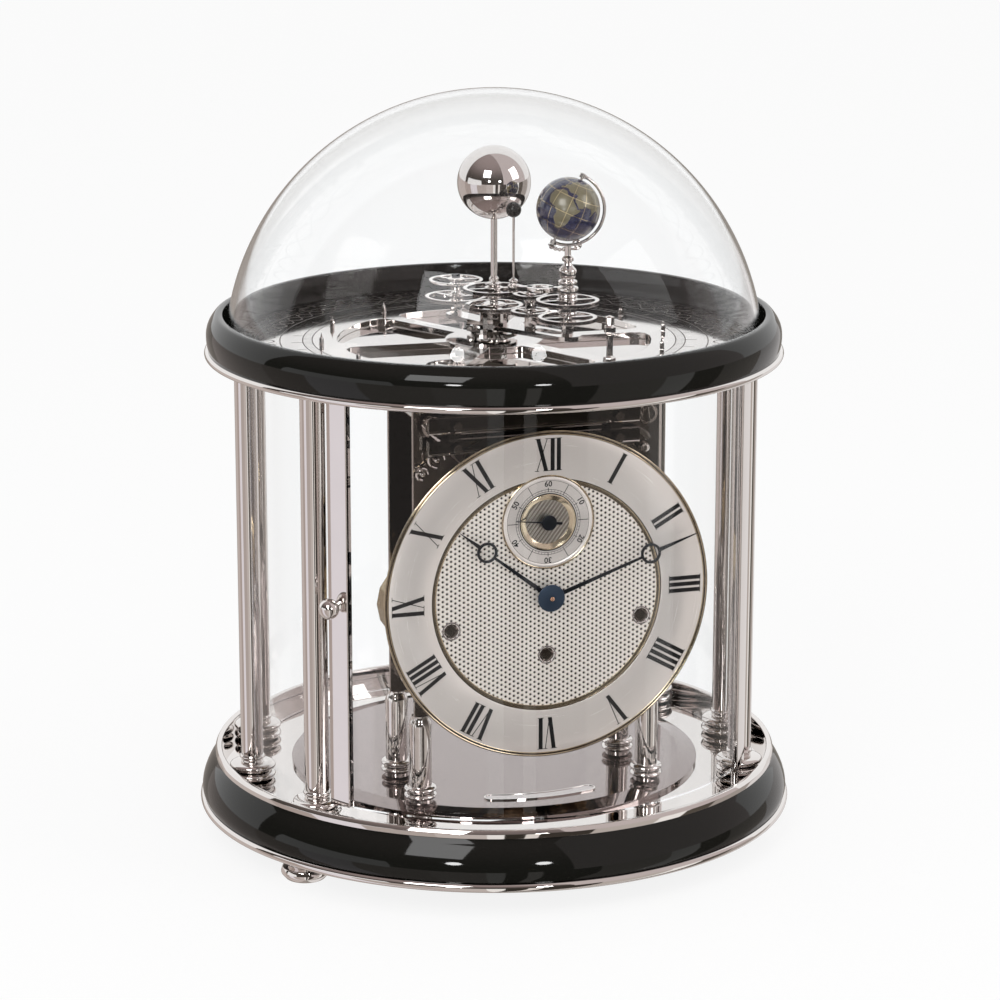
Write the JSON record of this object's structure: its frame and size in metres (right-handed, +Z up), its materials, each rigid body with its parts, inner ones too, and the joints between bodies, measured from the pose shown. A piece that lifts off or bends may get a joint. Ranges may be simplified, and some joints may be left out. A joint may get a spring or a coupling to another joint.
{
  "type": "table clock",
  "caption": "Round table clock with columns, curved glass and a glass door, a dial with a separate seconds dial, and a glass dome over a turning model of the sun, earth and moon.",
  "frame": {"origin": "on the ground, on the clock's vertical axis", "axes": "+Z up, -Y towards the dial and the door, +X to the right as the dial is faced"},
  "size_m": [0.3194, 0.3194, 0.3964],
  "materials": {
    "nickel": "polished, warm",
    "lacquer": "black gloss lacquer",
    "mirror": "polished disc",
    "glass": "clear, polished",
    "silver": "silvered, finely brushed",
    "gilt": "gilt, pale",
    "blued": "dark blued, polished",
    "brass": "satin",
    "globe": "dark blue enamel with gilt land",
    "moon": "dark, polished"
  },
  "bodies": {
    "case": {"base_plinth": "lacquer", "plinth_lower_bead": "nickel", "plinth_upper_bead": "nickel", "base_plate": "nickel", "mirror_disc": "mirror", "foot_1": "nickel", "foot_2": "nickel", "foot_3": "nickel", "foot_4": "nickel", "name_plate": "nickel", "column_front_right": "nickel", "column_right": "nickel", "column_rear_right": "nickel", "column_front_left": "nickel", "column_left": "nickel", "column_rear_left": "nickel", "pane_front_right": "glass", "pane_rear_right": "glass", "pane_rear": "glass", "pane_rear_left": "glass", "pane_front_left": "glass", "ceiling_plate": "nickel", "top_ring": "lacquer", "orrery_plate": "nickel", "fixed_wheel": "nickel", "leg_front_left": "nickel", "leg_front_right": "nickel", "leg_back_left": "nickel", "leg_back_right": "nickel", "front_plate": "nickel", "back_plate": "nickel", "lever_bridge": "nickel", "chapter_ring": "silver", "dial_centre": "silver", "seconds_dial": "gilt"},
    "door": {"door_glass": "glass", "door_stile_right": "nickel", "door_stile_left": "nickel", "door_knob": "nickel"},
    "dome": {"dome_glass": "glass"},
    "minute_hand": {"minute_hand": "blued"},
    "hour_hand": {"hour_hand": "blued"},
    "seconds_hand": {"seconds_hand": "blued"},
    "going_barrel": {"going_barrel": "brass"},
    "strike_barrel": {"strike_barrel": "brass"},
    "chime_barrel": {"chime_barrel": "brass"},
    "going_winding_arbor": {"going_winding_arbor": "nickel"},
    "strike_winding_arbor": {"strike_winding_arbor": "nickel"},
    "chime_winding_arbor": {"chime_winding_arbor": "nickel"},
    "month_arbor": {"month_arbor": "nickel", "sun_globe": "nickel"},
    "carriage": {"carriage": "nickel"},
    "year_pinion": {"year_pinion": "nickel"},
    "parallel_idler": {"parallel_idler": "nickel"},
    "month_idler": {"month_idler": "nickel"},
    "tail_wheels": {"tail_wheels": "nickel"},
    "earth_turntable": {"earth_turntable": "nickel"},
    "earth_globe": {"earth_globe": "globe"},
    "moon_wheel": {"moon_wheel": "nickel", "moon_globe": "moon"}
  },
  "joints": [
    {"name": "door_hinge", "type": "hinge", "parent": "case", "child": "door", "pos_m": [0.10645, -0.08785, 0.15], "axis": [0, 0, 1], "range_deg": [0, 100]},
    {"name": "dome_lift", "type": "slide", "parent": "case", "child": "dome", "axis": [0, 0, 1], "range_m": [0, 0.14]},
    {"name": "minute_turn", "type": "hinge", "parent": "case", "child": "minute_hand", "pos_m": [0, -0.09, 0.1488], "axis": [0, 1, 0], "continuous": true},
    {"name": "hour_turn", "type": "hinge", "parent": "case", "child": "hour_hand", "pos_m": [0, -0.09, 0.1488], "axis": [0, 1, 0], "continuous": true},
    {"name": "seconds_turn", "type": "hinge", "parent": "case", "child": "seconds_hand", "pos_m": [0, -0.09, 0.1875], "axis": [0, 1, 0], "continuous": true},
    {"name": "going_barrel_turn", "type": "hinge", "parent": "case", "child": "going_barrel", "pos_m": [0, -0.05, 0.1168], "axis": [0, 1, 0], "continuous": true},
    {"name": "strike_barrel_turn", "type": "hinge", "parent": "case", "child": "strike_barrel", "pos_m": [-0.051, -0.05, 0.1336], "axis": [0, 1, 0], "continuous": true},
    {"name": "chime_barrel_turn", "type": "hinge", "parent": "case", "child": "chime_barrel", "pos_m": [0.051, -0.05, 0.1336], "axis": [0, 1, 0], "continuous": true},
    {"name": "going_winding_turn", "type": "hinge", "parent": "case", "child": "going_winding_arbor", "pos_m": [0, -0.05, 0.1168], "axis": [0, 1, 0], "continuous": true},
    {"name": "strike_winding_turn", "type": "hinge", "parent": "case", "child": "strike_winding_arbor", "pos_m": [-0.051, -0.05, 0.1336], "axis": [0, 1, 0], "continuous": true},
    {"name": "chime_winding_turn", "type": "hinge", "parent": "case", "child": "chime_winding_arbor", "pos_m": [0.051, -0.05, 0.1336], "axis": [0, 1, 0], "continuous": true},
    {"name": "carriage_turn", "type": "hinge", "parent": "case", "child": "carriage", "pos_m": [0, 0, 0.272], "axis": [0, 0, 1], "continuous": true},
    {"name": "month_turn", "type": "hinge", "parent": "case", "child": "month_arbor", "pos_m": [0, 0, 0.28], "axis": [0, 0, 1], "continuous": true},
    {"name": "year_pinion_turn", "type": "hinge", "parent": "case", "child": "year_pinion", "pos_m": [-0.0061, 0.01479, 0.267], "axis": [0, 0, 1], "continuous": true},
    {"name": "parallel_idler_turn", "type": "hinge", "parent": "carriage", "child": "parallel_idler", "pos_m": [0.01311, -0.02187, 0.282], "axis": [0, 0, 1], "continuous": true},
    {"name": "month_idler_turn", "type": "hinge", "parent": "carriage", "child": "month_idler", "pos_m": [0.01311, -0.02187, 0.291], "axis": [0, 0, 1], "continuous": true},
    {"name": "tail_turn", "type": "hinge", "parent": "carriage", "child": "tail_wheels", "pos_m": [-0.01215, 0.02947, 0.282], "axis": [0, 0, 1], "continuous": true},
    {"name": "earth_stand_turn", "type": "hinge", "parent": "carriage", "child": "earth_turntable", "pos_m": [0.02622, -0.04374, 0.29], "axis": [0, 0, 1], "continuous": true},
    {"name": "moon_turn", "type": "hinge", "parent": "carriage", "child": "moon_wheel", "pos_m": [0.02622, -0.04374, 0.291], "axis": [0, 0, 1], "continuous": true},
    {"name": "earth_spin", "type": "hinge", "parent": "earth_turntable", "child": "earth_globe", "pos_m": [0.02622, -0.04374, 0.339], "axis": [0.3809, -0.1179, 0.9171], "continuous": true}
  ],
  "couplings": [
    {"joint": "minute_turn", "follows": "going_barrel_turn", "ratio": -8},
    {"joint": "hour_turn", "follows": "going_barrel_turn", "ratio": -0.66667},
    {"joint": "month_turn", "follows": "carriage_turn", "ratio": 13.368},
    {"joint": "year_pinion_turn", "follows": "carriage_turn", "ratio": -3},
    {"joint": "parallel_idler_turn", "follows": "carriage_turn", "ratio": 1.5},
    {"joint": "earth_stand_turn", "follows": "carriage_turn", "ratio": -1},
    {"joint": "month_idler_turn", "follows": "carriage_turn", "ratio": -22.263},
    {"joint": "moon_turn", "follows": "carriage_turn", "ratio": 12.368},
    {"joint": "tail_turn", "follows": "carriage_turn", "ratio": 0.92308}
  ]
}
